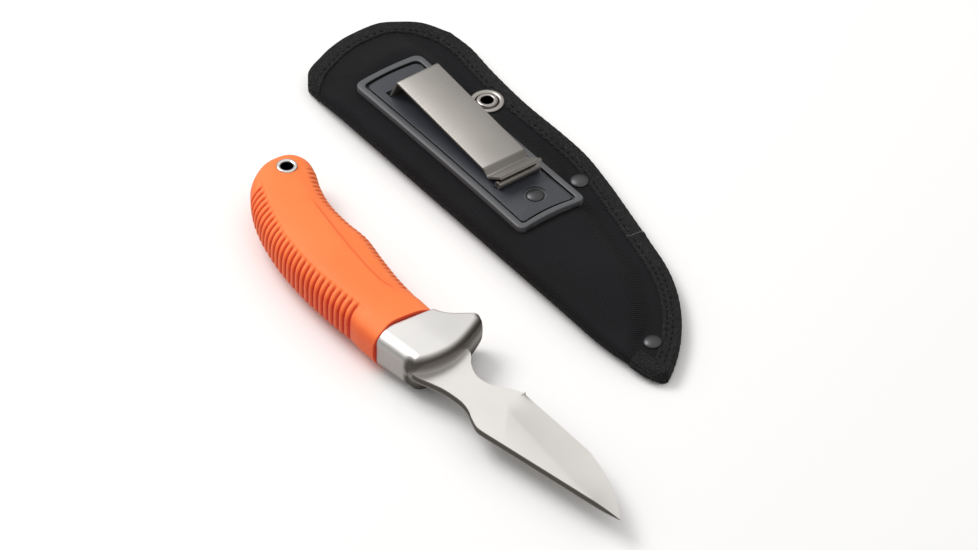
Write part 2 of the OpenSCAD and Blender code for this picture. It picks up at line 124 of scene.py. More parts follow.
def smoothstep(a, b, x):
    t = np.clip((x - a) / (b - a), 0, 1)
    return t * t * (3 - 2 * t)


def normals(path, closed=False):
    """Unit normals on the left of a 2D path."""
    p = np.array(path, float)
    if closed:
        d = np.roll(p, -1, 0) - np.roll(p, 1, 0)
    else:
        d = np.gradient(p, axis=0)
    d /= np.linalg.norm(d, axis=1)[:, None]
    return np.stack([-d[:, 1], d[:, 0]], 1)


def distance(points, path):
    """Distance of 2D points from a polyline."""
    p = np.asarray(points, float).reshape(-1, 2)
    best = np.full(len(p), 1e9)
    for a, b in zip(path[:-1], path[1:]):
        ab = b - a
        t = np.clip(((p - a) @ ab) / max(ab @ ab, 1e-12), 0, 1)
        best = np.minimum(best, np.linalg.norm(p - a - t[:, None] * ab, axis=1))
    return best


# ---- meshes ----


def new_object(name, data):
    obj = bpy.data.objects.new(name, data)
    bpy.context.scene.collection.objects.link(obj)
    return obj


def piece(name, skin, body, material=None, node=None, sharp=35, tones=None, rides=True):
    """Makes a piece from a skin, (points, faces), in its body's axes. It rides on the body and
    replaces a CAD node. tones is the shade attribute, which some materials read."""
    verts, faces = skin
    mesh = bpy.data.meshes.new(name)
    mesh.from_pydata([AXES[body] @ Vector(v) for v in verts], [], [list(map(int, f)) for f in faces])
    if tones is not None:
        layer = mesh.attributes.new("shade", "FLOAT", "POINT")
        layer.data.foreach_set("value", np.asarray(tones, np.float32))
    bm = bmesh.new()
    bm.from_mesh(mesh)
    bmesh.ops.remove_doubles(bm, verts=bm.verts, dist=2e-6)
    bmesh.ops.recalc_face_normals(bm, faces=bm.faces)
    bm.to_mesh(mesh)
    bm.free()
    shade(mesh, sharp)
    obj = new_object(name, mesh)
    mesh.materials.append(material)
    if node is not None:
        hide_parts(node)
        # Blender numbers a name that the frame has already taken
        if rides:
            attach(obj, body)
    return obj


def shade(mesh, sharp):
    """Smooth shading, apart from creases sharper than an angle and the large flat faces."""
    mesh.polygons.foreach_set("use_smooth", [len(f.vertices) < 7 for f in mesh.polygons])
    mesh.set_sharp_from_angle(angle=math.radians(sharp))


def grid_faces(rows, columns, close_rows=False, close_columns=False):
    """Quads of a grid of rows x columns points, optionally joined round either way."""
    out = []
    for i in range(rows if close_rows else rows - 1):
        for k in range(columns if close_columns else columns - 1):
            i2 = (i + 1) % rows
            k2 = (k + 1) % columns
            out.append((i * columns + k, i * columns + k2, i2 * columns + k2, i2 * columns + k))
    return out


def loft(loops, cap=True):
    """Closed loops of equal length joined into a skin, with a face over each end."""
    loops = np.array(loops, float)
    n, m = loops.shape[:2]
    faces = grid_faces(n, m, close_columns=True)
    if cap:
        faces.append(tuple(range(m)))
        faces.append(tuple(range((n - 1) * m, n * m)))
    return loops.reshape(-1, 3), faces


def lathe(profile, sides=64, at=(0, 0, 0), closed=True):
    """A profile of (radius, height) points turned about +Z at a place."""
    p = np.array(profile, float)
    a = np.linspace(0, 2 * math.pi, sides, endpoint=False)
    rings = np.stack([np.stack([r * np.cos(a), r * np.sin(a), np.full(sides, z)], 1) for r, z in p])
    verts = rings.reshape(-1, 3) + np.array(at)
    faces = grid_faces(len(p), sides, close_rows=closed, close_columns=True)
    return verts, faces


def join(parts):
    """Several skins as one."""
    verts, faces, offset = [], [], 0
    for v, f in parts:
        verts.append(np.asarray(v, float))
        faces += [tuple(k + offset for k in q) for q in f]
        offset += len(v)
    return np.vstack(verts), faces


def box_mesh(lo, hi):
    x, y, z = zip(lo, hi)
    verts = [(x[i], y[j], z[k]) for i in (0, 1) for j in (0, 1) for k in (0, 1)]
    faces = [(0, 1, 3, 2), (4, 6, 7, 5), (0, 4, 5, 1), (2, 3, 7, 6), (0, 2, 6, 4), (1, 5, 7, 3)]
    return np.array(verts, float), faces


def rod(at, radius, low, high):
    """An upright cylinder."""
    sides = 48
    verts, faces = lathe([(radius, low), (radius, high)], sides, (at[0], at[1], 0), closed=False)
    return verts, faces + [tuple(range(sides)), tuple(range(sides, 2 * sides))]


def cut(obj, body, *cutters):
    """Takes closed skins, in a body's axes, out of obj for good."""
    tool = piece("cutter", join(cutters), body)
    modifier = obj.modifiers.new("cut", "BOOLEAN")
    modifier.operation = "DIFFERENCE"
    modifier.solver = "EXACT"
    modifier.object = tool
    bake(obj)
    bpy.data.objects.remove(tool)


def bake(obj):
    """Applies an object's modifiers."""
    graph = bpy.context.evaluated_depsgraph_get()
    made = bpy.data.meshes.new_from_object(obj.evaluated_get(graph))
    obj.modifiers.clear()
    old = obj.data
    obj.data = made
    bpy.data.meshes.remove(old)


# ---- materials ----


class Shader:
    """A small helper for node materials: each call adds a node and returns an output."""

    def __init__(self, name):
        self.material = bpy.data.materials.new(name)
        self.material.use_nodes = True
        self.tree = self.material.node_tree
        self.surface = self.tree.nodes["Principled BSDF"]
        self.place = self.add("ShaderNodeTexCoord").outputs["Object"]

    def add(self, kind, **settings):
        node = self.tree.nodes.new(kind)
        for key, value in settings.items():
            setattr(node, key, value)
        return node

    def feed(self, socket, value):
        """Gives a socket a number, a tuple or another node's output."""
        if isinstance(value, bpy.types.NodeSocket):
            self.tree.links.new(value, socket)
        elif socket.type == "RGBA":
            socket.default_value = (*value, 1)
        else:
            socket.default_value = value

    def put(self, node, **values):
        """Feeds inputs by name, with _ for a space."""
        for key, value in values.items():
            self.feed(node.inputs[key.replace("_", " ")], value)
        return node

    def stretch(self, scale=(1, 1, 1), turn=(0, 0, 0), vector=None):
        return self.put(self.add("ShaderNodeMapping"), Vector=vector or self.place, Scale=scale,
                        Rotation=turn).outputs["Vector"]

    def noise(self, scale, vector=None, detail=3.0, rough=0.5):
        return self.put(self.add("ShaderNodeTexNoise"), Vector=vector or self.place, Scale=scale,
                        Detail=detail, Roughness=rough).outputs["Fac"]

    def wave(self, scale, vector):
        return self.put(self.add("ShaderNodeTexWave"), Vector=vector, Scale=scale).outputs["Fac"]

    def math(self, operation, a, b):
        node = self.add("ShaderNodeMath", operation=operation)
        self.feed(node.inputs[0], a)
        self.feed(node.inputs[1], b)
        return node.outputs["Value"]

    def span(self, value, low, high, to_low=0.0, to_high=1.0):
        """Maps low..high to to_low..to_high, and holds it at its ends."""
        return self.put(self.add("ShaderNodeMapRange"), Value=value, From_Min=low, From_Max=high,
                        To_Min=to_low, To_Max=to_high).outputs["Result"]

    def mix(self, factor, a, b):
        """Colour a where factor is 0 and b where it is 1."""
        node = self.add("ShaderNodeMix", data_type="RGBA")
        for socket, value in ((node.inputs[0], factor), (node.inputs[6], a), (node.inputs[7], b)):
            self.feed(socket, value)
        return node.outputs[2]

    def attribute(self, name):
        return self.add("ShaderNodeAttribute", attribute_name=name).outputs["Fac"]

    def bump(self, height, strength, depth):
        return self.put(self.add("ShaderNodeBump"), Height=height, Strength=strength,
                        Distance=depth).outputs["Normal"]

    def finish(self, **values):
        self.put(self.surface, **values)
        return self.material


def scaled(colour, factor):
    return tuple(c * factor for c in colour)


def steel(name, colour, rough, grain, along=(6, 220, 220), wear=0.06, turn=0.0, metal=1.0,
          painted_shade=None):
    """Brushed or satin metal: fine lines along one direction, a cloudy roughness, and a painted
    shade colour, for shade and dark reflections, mixed in where the mesh's shade attribute asks for
    it."""
    s = Shader(name)
    lines = s.noise(9.0, s.stretch(along, (0, 0, turn)), 4.0, 0.6)
    cloud = s.noise(45.0, detail=4.0)
    tone = s.mix(s.span(cloud, 0.3, 0.7), scaled(colour, 1 - wear), colour)
    tone = s.mix(s.span(lines, 0.25, 0.75, 0.0, wear * 2), tone, scaled(colour, 0.75))
    # painted shade: a dark colour where the piece stands in shade or reflects something dark
    if painted_shade is not None:
        tone = s.mix(s.attribute("shade"), tone, painted_shade)
    roughness = s.math("ADD", s.span(lines, 0.2, 0.8, rough * 0.85, rough * 1.15),
                       s.span(cloud, 0.3, 0.7, -0.03, 0.03))
    return s.finish(Base_Color=tone, Metallic=metal, Roughness=roughness,
                    Normal=s.bump(lines, grain, 0.00002))


def rubber():
    """Soft orange grip rubber with a fine moulded grain, and painted shade, deeper and redder, in
    the grooves and wherever the mesh's shade attribute asks for it.
    """
    deep, pale, shaded_groove = (1.0, 0.2, 0.039), (1.0, 0.228, 0.052), (0.6, 0.02, 0.001)
    s = Shader("grip_rubber")
    cloud = s.noise(60.0)
    grain = s.noise(5200.0, detail=2.0)
    tone = s.mix(s.span(cloud, 0.3, 0.7), deep, pale)
    # painted shade in the grooves, the crease, the lip and down the spine side
    tone = s.mix(s.attribute("shade"), tone, shaded_groove)
    return s.finish(Base_Color=tone, Roughness=s.span(cloud, 0.3, 0.7, 0.5, 0.58),
                    Specular_IOR_Level=0.32, Sheen_Weight=0.12, Sheen_Roughness=0.5,
                    Subsurface_Weight=0.06, Subsurface_Scale=0.003,
                    Normal=s.bump(grain, 0.16, 0.00004))


def woven(name, dark, light, pitch, turn, depth, gloss=0.62, sheen=0.25, marked=False):
    """Ribbed nylon: slanting cords crossed by finer yarns, with fibres and faded high spots.
    The pitch of the cords is in millimetres. One wave of the texture is pi / 10 metres long. A
    marked weave also has pale flecks, and is grey where the mesh's shade asks for it."""
    s = Shader(name)
    warped = s.add("ShaderNodeVectorMath", operation="MULTIPLY_ADD")
    for socket, value in zip(warped.inputs, (s.noise(14.0, detail=1.0), (0.004, 0.004, 0), s.place)):
        s.feed(socket, value)

    def cords(step, angle):
        cloth = s.stretch(turn=(0, 0, angle), vector=warped.outputs["Vector"])
        return s.wave(0.1 * math.pi / (step * MM), cloth)

    cord = cords(pitch, turn)
    yarn = cords(pitch * 0.62, turn + math.radians(78))
    weave = s.math("ADD", s.math("MULTIPLY", cord, 0.75), s.math("MULTIPLY", yarn, 0.25))
    fibre = s.noise(3800.0, detail=2.0)
    height = s.math("ADD", weave, s.math("MULTIPLY", fibre, 0.25))
    fade = s.span(s.noise(26.0, detail=4.0), 0.35, 0.75)
    tone = s.mix(s.span(height, 0.45, 0.95), dark, light)
    tone = s.mix(s.math("MULTIPLY", fade, 0.25), tone, scaled(light, 1.5))
    if marked:
        flecks = s.span(s.noise(1500.0, detail=1.0), 0.52, 0.68, 0.0, 0.6)
        tone = s.mix(flecks, tone, scaled(light, 2.2))
        tone = s.mix(s.attribute("shade"), tone, (0.16, 0.16, 0.16))
    return s.finish(Base_Color=tone, Roughness=gloss, Specular_IOR_Level=0.1, Sheen_Weight=sheen,
                    Sheen_Roughness=0.4, Normal=s.bump(height, 0.8, depth))


def plastic(name, colour, rough, rim=None):
    """Satin moulded plastic: a fine pebble, faint flow marks and slightly rubbed high spots.
    A painted highlight on the rim shows where the mesh's shade is 1, and painted shade in a dark
    groove where it is -1."""
    worn, shaded_groove = (0.3, 0.32, 0.35), (0.002, 0.002, 0.002)
    s = Shader(name)
    pebbles = s.noise(2600.0, detail=2.0)
    flow = s.noise(30.0, s.stretch((1, 5, 1)), 4.0)
    tone = s.mix(s.span(flow, 0.35, 0.75, 0, 0.35), colour, scaled(colour, 1.45))
    tone = s.mix(s.span(pebbles, 0.62, 0.8, 0, 0.18), tone, worn)
    if rim is not None:
        # painted highlight on the rim, then painted shade in the groove
        tone = s.mix(s.attribute("shade"), tone, rim)
        tone = s.mix(s.math("MULTIPLY", s.attribute("shade"), -1.0), tone, shaded_groove)
    return s.finish(Base_Color=tone, Roughness=s.span(flow, 0.3, 0.7, rough, rough + 0.1),
                    Specular_IOR_Level=0.5, Normal=s.bump(pebbles, 0.15, 0.00003))


def speckled(name, dark, light, rough, scale=900.0):
    """Foam and thread: an even, fine-celled surface."""
    s = Shader(name)
    cells = s.noise(scale)
    return s.finish(Base_Color=s.mix(s.span(cells, 0.3, 0.7), dark, light), Roughness=rough,
                    Specular_IOR_Level=0.15, Normal=s.bump(cells, 0.5, 0.0001))


BLADE_STEEL = steel("blade_steel", (0.9, 0.88, 0.855), 0.33, 0.004, wear=0.02,
                    painted_shade=(0.09, 0.075, 0.06))
BOLSTER_STEEL = steel("bolster_steel", (0.93, 0.92, 0.905), 0.33, 0.03, wear=0.04, turn=-0.07,
                      painted_shade=(0.1, 0.085, 0.07))
PIN_STEEL = steel("pin_steel", (0.7, 0.7, 0.7), 0.3, 0.1)
CLIP_STEEL = steel("clip_steel", (0.42, 0.4, 0.375), 0.46, 0.12, along=(200, 8, 200), wear=0.12,
                   painted_shade=(0.11, 0.1, 0.09))
NICKEL = steel("eyelet_metal", (0.45, 0.425, 0.4), 0.34, 0.05, along=(60, 60, 60), wear=0.1,
               painted_shade=(0.015, 0.013, 0.012))
BRIGHT = steel("lanyard_steel", (0.86, 0.85, 0.84), 0.14, 0.03, along=(60, 60, 60),
               painted_shade=(0.02, 0.016, 0.014))
GUNMETAL = steel("rivet_metal", (0.085, 0.085, 0.09), 0.36, 0.3, along=(90, 90, 90), wear=0.25,
                 metal=0.85)
RUBBER = rubber()
NYLON = woven("cover_nylon", (0.0008, 0.0008, 0.001), (0.0142, 0.0142, 0.0168), 0.9,
              math.radians(5), 0.00028, sheen=0.03)
LINING = woven("lining_nylon", (0.006, 0.006, 0.007), (0.02, 0.02, 0.022), 0.5,
               math.radians(10), 0.0001)
TAPE = woven("binding_tape", (0.005, 0.005, 0.0052), (0.02, 0.02, 0.0205), 0.7,
             math.radians(80), 0.0002, gloss=0.75, sheen=0.03, marked=True)
THREAD = speckled("thread", (0.001, 0.001, 0.001), (0.004, 0.004, 0.0045), 0.9, 1500.0)
FOAM = speckled("foam", (0.1, 0.1, 0.11), (0.2, 0.2, 0.21), 0.9)
PLATE = plastic("plate_plastic", (0.034, 0.037, 0.046), 0.36, rim=(0.085, 0.088, 0.094))
LINER = plastic("liner_plastic", (0.05, 0.05, 0.055), 0.45)
CORE = plastic("core_plastic", (0.02, 0.02, 0.02), 0.5)

# ---- the knife ----

# the sleeve's stations: x, its two edges in y, and half its thickness
GRIP_ROWS = [[-105.9, 7.8, 9.0, 0.5], [-105.5, 6.2, 10.8, 2], [-104.6, 2.6, 14.5, 5],
             [-102, -1.9, 17.4, 6.9], [-98, -6.5, 19, 7.7], [-92, -10.9, 18.6, 8],
             [-83, -15.1, 15.4, 8.4], [-72, -18.2, 13, 9.2], [-59, -20.2, 12.7, 10.1],
             [-47, -20.9, 13.8, 10.5], [-35, -20.8, 12.5, 10.4], [-22, -20, 11.4, 10],
             [-10, -18.6, 11.4, 9.5], [-0.9, -17.4, 12, 9.2]]
# the creases that bound the smooth top
SPINE_CREASE = [[-106, 2], [-98, -2.4], [-87, -6.2], [-75.4, -10], [-62.5, -13.2], [-49.2, -14.4],
                [-38, -14.4], [-26.6, -13.2], [-14.4, -11.3], [-8.3, -10.6], [2, -10.4]]
BELLY_CREASE = [[-106, 14], [-92, 9.5], [-82, 6.6], [-72, 5.3], [-64, 4.2], [-50.7, 2.4],
                [-40.4, 1.6], [-29.7, 1.2], [-20.5, 1.6], [-14, 3.4], [-8, 7], [2, 14]]


def lap(y):
    """How far the sleeve's front lip runs over the bolster: most of all along the spine."""
    return 2.0 + 2.2 * smoothstep(-6, -16, y)


def ribs(phase, pitch, width):
    """1 along the middle of each groove, which lies where phase is a whole number."""
    return np.exp(-((phase - np.round(phase)) * pitch / width) ** 2)


def make_grip():
    """The rubber sleeve: a rounded-square loft with ribbed bands each side of a smooth top."""
    power, sides = 2.7, 184
    rows = resample(catmull(GRIP_ROWS, 60), 400)
    # a rounded lip that turns in to the bolster: how far each row is ahead, and how much wider
    lip = [rows[-1] + np.array([ahead, -wider, wider, wider])
           for ahead, wider in ((0.5, 0.12), (0.85, -0.1), (0.95, -0.6), (0.6, -1.6))]
    rows = np.vstack([rows, lip])
    angle = np.linspace(0, 2 * math.pi, sides, endpoint=False)
    c, s = np.cos(angle), np.sin(angle)
    x = np.repeat(rows[:, 0:1], sides, 1)
    middle = (rows[:, 1:2] + rows[:, 2:3]) / 2
    half_y = (rows[:, 2:3] - rows[:, 1:2]) / 2
    half_z = rows[:, 3:4]
    y = middle + half_y * np.sign(c) * np.abs(c) ** (2 / power)
    z = half_z * np.sign(s) * np.abs(s) ** (2 / power)
    # outward direction of the section
    ny = np.sign(c) * np.abs(c) ** (2 - 2 / power) / half_y
    nz = np.sign(s) * np.abs(s) ** (2 - 2 / power) / half_z
    size = np.hypot(ny, nz)
    ny, nz = ny / size, nz / size

    spine = np.interp(x, *np.array(SPINE_CREASE).T) - y
    belly = y - np.interp(x, *np.array(BELLY_CREASE).T)
    ends = smoothstep(-97.5, -93, x) * (1 - smoothstep(-10.5, -7, x))
    # the grooves bow backwards over the sides
    bow = (z / 8.6) ** 2
    # spine band: sunk a little, with a rib between each two grooves
    pitch, first, count = 3.15, -11.5, 26
    phase = (x + 2.4 * bow - first) / pitch
    shaded_groove = ribs(phase, pitch, 0.58) * (phase < 0.5) * (phase > 0.5 - count)
    deep = smoothstep(0.2, 2.4, spine)
    sink = 0.45 * smoothstep(0, 1.4, spine) * ends + 1.05 * shaded_groove * deep
    # belly band: a fine crease line, then a plain band, then small ribs at the edge
    crease = np.exp(-(belly / 0.45) ** 2) * smoothstep(-80, -66, x) * (1 - smoothstep(-17, -12, x))
    sink += 0.34 * crease + 0.3 * smoothstep(0, 3, belly) * ends
    edge = smoothstep(-5.2, -2.6, y - (middle + half_y))
    fine_pitch = 2.5
    fine = ribs((x - 1.2 * bow) / fine_pitch, fine_pitch, 0.45)
    fine *= smoothstep(-94, -91, x) * (1 - smoothstep(-14, -12, x)) * (c > 0)
    sink += 0.5 * fine * edge
    y = y - ny * sink
    z = z - nz * sink
    # the tone of the rubber is painted shade: redder deep in a groove and in the crease, on the lip
    # and
    #     down the spine side, where the faces turn away from the light
    side_shade = (1 - smoothstep(0.35, 0.97, nz)) * (0.32 + 0.2 * smoothstep(-75, -20, x))
    side_shade *= smoothstep(0.3, -0.5, c)
    tone = np.clip(shaded_groove * deep * 0.95 + fine * edge * 0.7 + crease * 0.55 + side_shade, 0, 1)
    # painted shade on the lip where it turns in against the bolster
    tone[-3:] = 0.85
    tone[-4] = 0.4
    x = x + lap(y) * smoothstep(-13, -1, x)
    grip = piece("grip_sleeve", loft(np.stack([x, y, z], 2)), "knife", RUBBER, "handle_grip",
                 sharp=60, tones=tone.ravel())
    cut(grip, "knife", rod(LANYARD, TUBE_OUTER + 0.1, -12, 12))
    grip.data.polygons.foreach_set("use_smooth", [True] * len(grip.data.polygons))


TUBE_OUTER = 3.0


def make_lanyard_tube():
    """The bright tube, flared and rolled over at both ends, with painted shade dark inside."""
    inner, flare, top, sides = 2.2, 3.95, 8.35, 72
    lip = [(TUBE_OUTER, top - 1.1), (flare - 0.25, top - 0.62), (flare, top - 0.3),
           (flare - 0.1, top - 0.05), (flare - 0.45, top + 0.08), (inner + 0.6, top - 0.02),
           (inner + 0.15, top - 0.35), (inner, top - 0.9)]
    profile = lip + [(r, -z) for r, z in reversed(lip)]
    # painted shade down the inside of the bore
    shaded_inside = [float(r < inner + 0.2) for r, _ in profile]
    piece("lanyard_tube_flared", lathe(profile, sides, LANYARD), "knife", BRIGHT, "lanyard_tube",
          sharp=50, tones=np.repeat(shaded_inside, sides))


BOLSTER_LEN = 26.0
# half the thickness of the blade's flats, and of its edge
HALF_T = 1.5
EDGE_T = 0.15
TIP = np.array([132.4, 9.0])


def blade_curves():
    """The blade's plan: the neck's edge side, the heel, the cutting edge and the spine."""
    x0 = BOLSTER_LEN - 0.5
    neck = catmull([[x0 - 8, 12.4], [x0 - 1, 12.4], [x0 + 4.5, 9.3], [x0 + 9.5, 7.5],
                    [x0 + 14, 7.4], [x0 + 19, 9.2], [x0 + 24, 13.6], [x0 + 28.6, 16.4]], 10)
    heel = np.array([x0 + 29.2, 17.5])
    edge = np.vstack([[heel], [[x0 + 38, 18.5]], [[x0 + 47.5, 19.2]],
                      arc((x0 + 64.5, 20 - 87.6), 87.6, 90, 61, 60)])
    edge = resample(catmull(edge[::6], 12), 140)
    edge[-1] = TIP
    spine = np.vstack([catmull([[x0 - 8, -12], [x0 - 1, -12], [x0 + 6, -9.2], [x0 + 11, -7.2],
                                [x0 + 16, -6], [x0 + 21, -5.3], [x0 + 26, -5.7], [x0 + 31, -7.2],
                                [x0 + 36, -8.2], [x0 + 40, -7.6]], 8),
                       resample([[x0 + 42, -7.1], TIP], 60)[:-1]])
    return neck, heel, edge, spine


def make_blade():
    """The blade as two mirrored sides: a flat, a slightly hollow bevel and a crisp plunge."""
    neck, heel, edge, spine = blade_curves()
    # where the grind line runs out on the spine
    meet = 118.5
    spine_y = np.interp(meet, spine[:, 0], spine[:, 1])
    grind = np.vstack([catmull([heel + [0, -0.1], [55.6, 13.2], [57, 9.4], [59.4, 6.7], [63.5, 5.6],
                                [72, 5.1], [84, 4.7], [97, 4.4], [108, 4.4], [114, 4.8],
                                [meet, spine_y]], 10)])
    count = len(edge)
    # the bevel runs from the grind line, then from the spine once the two have met
    from_spine = spine[spine[:, 0] > meet + 0.5]
    inner = resample(np.vstack([grind, from_spine, [TIP]]), count, lambda t: t ** 0.86)
    width = np.linalg.norm(inner - edge, axis=1)
    full = 1 - np.clip((inner[:, 0] - meet) / (TIP[0] - meet), 0, 1) ** 1.8
    inner_z = EDGE_T + (HALF_T - EDGE_T) * full
    across = np.linspace(0, 1, 9)
    bevel = []
    for a in across:
        hollow = 0.1 * np.sin(math.pi * a) * np.clip(width / 12, 0, 1)
        z = inner_z * (1 - a) + EDGE_T * a - hollow * full
        bevel.append(np.column_stack([inner * (1 - a) + edge * a, np.maximum(z, EDGE_T * 0.9)]))
    bevel = np.array(bevel)
    flat_edge = inner[inner[:, 0] <= meet + 0.01]
    flat_spine = spine[spine[:, 0] < meet]
    flat = np.vstack([neck, flat_edge, flat_spine[::-1]])

    parts, tones = [], []
    for side in (1, -1):
        strip = bevel * [1, 1, side]
        parts.append((strip.reshape(-1, 3), grid_faces(len(across), count)))
        top = np.column_stack([flat, np.full(len(flat), side * HALF_T)])
        parts.append((top, [tuple(range(len(flat)))]))
        tones.append(np.zeros(strip.shape[0] * strip.shape[1] + len(top)))

    # walls, their middles darkened with painted shade: neck, spine, the thin edge itself and the
    # closed back
    #     inside the bolster
    def wall(path, z):
        path = np.asarray(path)
        z = np.broadcast_to(z, len(path))
        rows = np.array([np.column_stack([path, z * k]) for k in (1, 0.7, 0, -0.7, -1)])
        parts.append((rows.reshape(-1, 3), grid_faces(5, len(path))))
        tones.append(np.repeat([0, 0.8, 0.9, 0.8, 0], len(path)))

    wall(np.vstack([neck, [heel]]), np.r_[np.full(len(neck), HALF_T), HALF_T])
    wall(edge, EDGE_T)
    wall(flat_spine, HALF_T)
    tail = inner[:, 0] >= meet - 0.01
    wall(np.vstack([flat_spine[-1:], inner[tail]]), np.r_[HALF_T, inner_z[tail]])
    wall(np.vstack([spine[0], neck[0]]), HALF_T)
    piece("blade_ground", join(parts), "knife", BLADE_STEEL, "blade", sharp=14,
          tones=np.concatenate(tones))


def coons(fold, seam, start, end, s, t):
    """A point inside four curves: s runs along fold and seam, t from fold to seam."""
    def at(path, k):
        return look_up(path, np.linspace(0, 1, len(path)), k)

    s1, t1 = s[..., None], t[..., None]
    corners = ((1 - s1) * (1 - t1) * fold[0] + (1 - s1) * t1 * seam[0]
               + s1 * (1 - t1) * fold[-1] + s1 * t1 * seam[-1])
    return ((1 - t1) * at(fold, s) + t1 * at(seam, s) + (1 - s1) * at(start, t)
            + s1 * at(end, t) - corners)


def rounding(d, radius):
    """How far a face falls at distance d from an edge rounded over by radius."""
    return radius * (1 - np.sqrt(np.clip(1 - np.clip(1 - d / radius, 0, 1) ** 2, 0, 1)))


def make_bolster():
    """The bolster: crowned faces over a plan of four curves, well rounded along the spine side,
    with a leaning front. Its back end is drawn in, to sit inside the grip's lip."""
    back_spine, back_edge = [-2.0, -17.3], [-2.0, 9.8]
    front_spine, horn = [21.3, -13.1], [13.2, 24.4]
    back = resample([back_spine, back_edge], 60)
    spine = resample([back_spine, front_spine], 90)
    front = resample(catmull([front_spine, [23.6, -11.8], [25.2, -8.6], [BOLSTER_LEN, -3],
                              [25.4, 4], [23, 10.8], [19.3, 17.4], [16.0, 22.4], [14.6, 23.9],
                              horn], 14), 200)
    inner = resample(catmull([back_edge, [0, 10.4], [4, 12.2], [7, 15.6], [9.2, 20],
                              [10.8, 23.0], [11.9, 24.1], horn], 14), 140)

    def ease(count):
        return (1 - np.cos(np.linspace(0, math.pi, count))) / 2

    stations, across = 96, 110
    s_grid, t_grid = np.meshgrid(ease(stations), ease(across), indexing="ij")
    plan = coons(spine, inner, back, front, s_grid, t_grid)
    to_spine, to_front, to_inner = (distance(plan, path).reshape(plan.shape[:2])
                                    for path in (spine, front[::2], inner[::2]))
    x, y = plan[..., 0], plan[..., 1]
    top = 8.22 - 0.045 * (y - 3 + np.hypot(y - 3, 4)) - 0.0012 * np.clip(x - 9, 0, 30) ** 2
    top -= rounding(to_spine, 5.0) + rounding(to_front, 3.0) + rounding(to_inner, 1.2)
    drawn_in = smoothstep(0.4, -0.6, x - lap(y))
    top = np.maximum(top * (1 - 0.13 * drawn_in), 0.4)
    middle = -3.0
    y = middle + (y - middle) * (1 - 0.08 * drawn_in)

    # the upper face's rim, once round from the back end of the spine side
    rim = np.concatenate([np.arange(stations) * across,
                          (stations - 1) * across + np.arange(1, across),
                          (np.arange(stations - 1)[::-1] + 1) * across - 1,
                          np.arange(across - 1)[::-1][:-1]])
    sheet = np.stack([x, y, top], -1).reshape(-1, 3)
    edge = sheet[rim]
    outward = -normals(edge[:, :2], closed=True)
    lean = smoothstep(-12, -7, edge[:, 1]) * smoothstep(8, 17, edge[:, 0])
    # the front has a painted dark reflection, darker than the faces, least so half way down its wall
    dark_reflection = 0.9 * smoothstep(3.2, 0.6, to_front).ravel()
    rows, tones = [], [dark_reflection, dark_reflection]
    for level, fade in zip(np.linspace(1, -1, 9), (1, 0.95, 0.8, 0.6, 0.5, 0.6, 0.8, 0.95, 1)):
        row = edge * [1, 1, level]
        row[:, :2] += outward * (0.3 * lean * (1 - level ** 2))[:, None]
        rows.append(row)
        tones.append(dark_reflection[rim] * fade)
    faces = grid_faces(stations, across)
    wall = (np.vstack(rows), grid_faces(len(rows), len(rim), close_columns=True))
    piece("bolster_ground", join([(sheet, faces), (sheet * [1, 1, -1], faces), wall]), "knife",
          BOLSTER_STEEL, "bolster", sharp=50, tones=np.concatenate(tones))


# ---- the sheath ----

POUCH_T = 8.6
WALL_T = 2.2
SEAM_T = 4.5
# the tip side of the outline is an arc, met by a straight run from SEAM_FROM at TANGENT degrees
TIP_C = np.array([151.8, -41.2])
TIP_R = 90.0
SEAM_FROM = np.array([131.0, 55.6])
spoke = SEAM_FROM - TIP_C
TANGENT = math.degrees(math.atan2(spoke[1], spoke[0])
                       - math.acos(TIP_R / np.linalg.norm(spoke)))

MOUTH = resample(catmull([[14.6, 0.9], [10.3, 4.1], [7.9, 7.6], [6.1, 12], [3.3, 19.5], [1.6, 29.5],
                          [2.8, 43.4], [9.9, 54.9], [22, 61]], 12), 90)
SEAM = resample(np.vstack([catmull([[22, 61], [34, 61.7], [50, 60], [72, 58.9], [95, 59.5],
                                    [111, 59], SEAM_FROM], 12),
                           arc(TIP_C, TIP_R, TANGENT, 34.6, 60)]), 420)
FOLD = resample(np.vstack([catmull([[14.6, 0.9], [19, 0.4], [26, 0.1], [35, 0]], 6), [[188, 0]],
                           catmull([[188, 0], [196, 0.3], [206, 1.3], [215, 3], [223.5, 5],
                                    [225.4, 7.5]], 8)[1:]]), 420)
# the sewn margin runs on past the mouth
SEWN = np.vstack([[-12.0, 60.5], SEAM[::4]])

# metal that presses the pouch flat: its place, its radius and how far its hollow reaches
CLAMPS = ((EYELET, 6.75, 11.3), (Vector((119.5, 48.9, 0)), 3.8, 8.4),
          (Vector((209.5, 15.5, 0)), 3.8, 8.0))


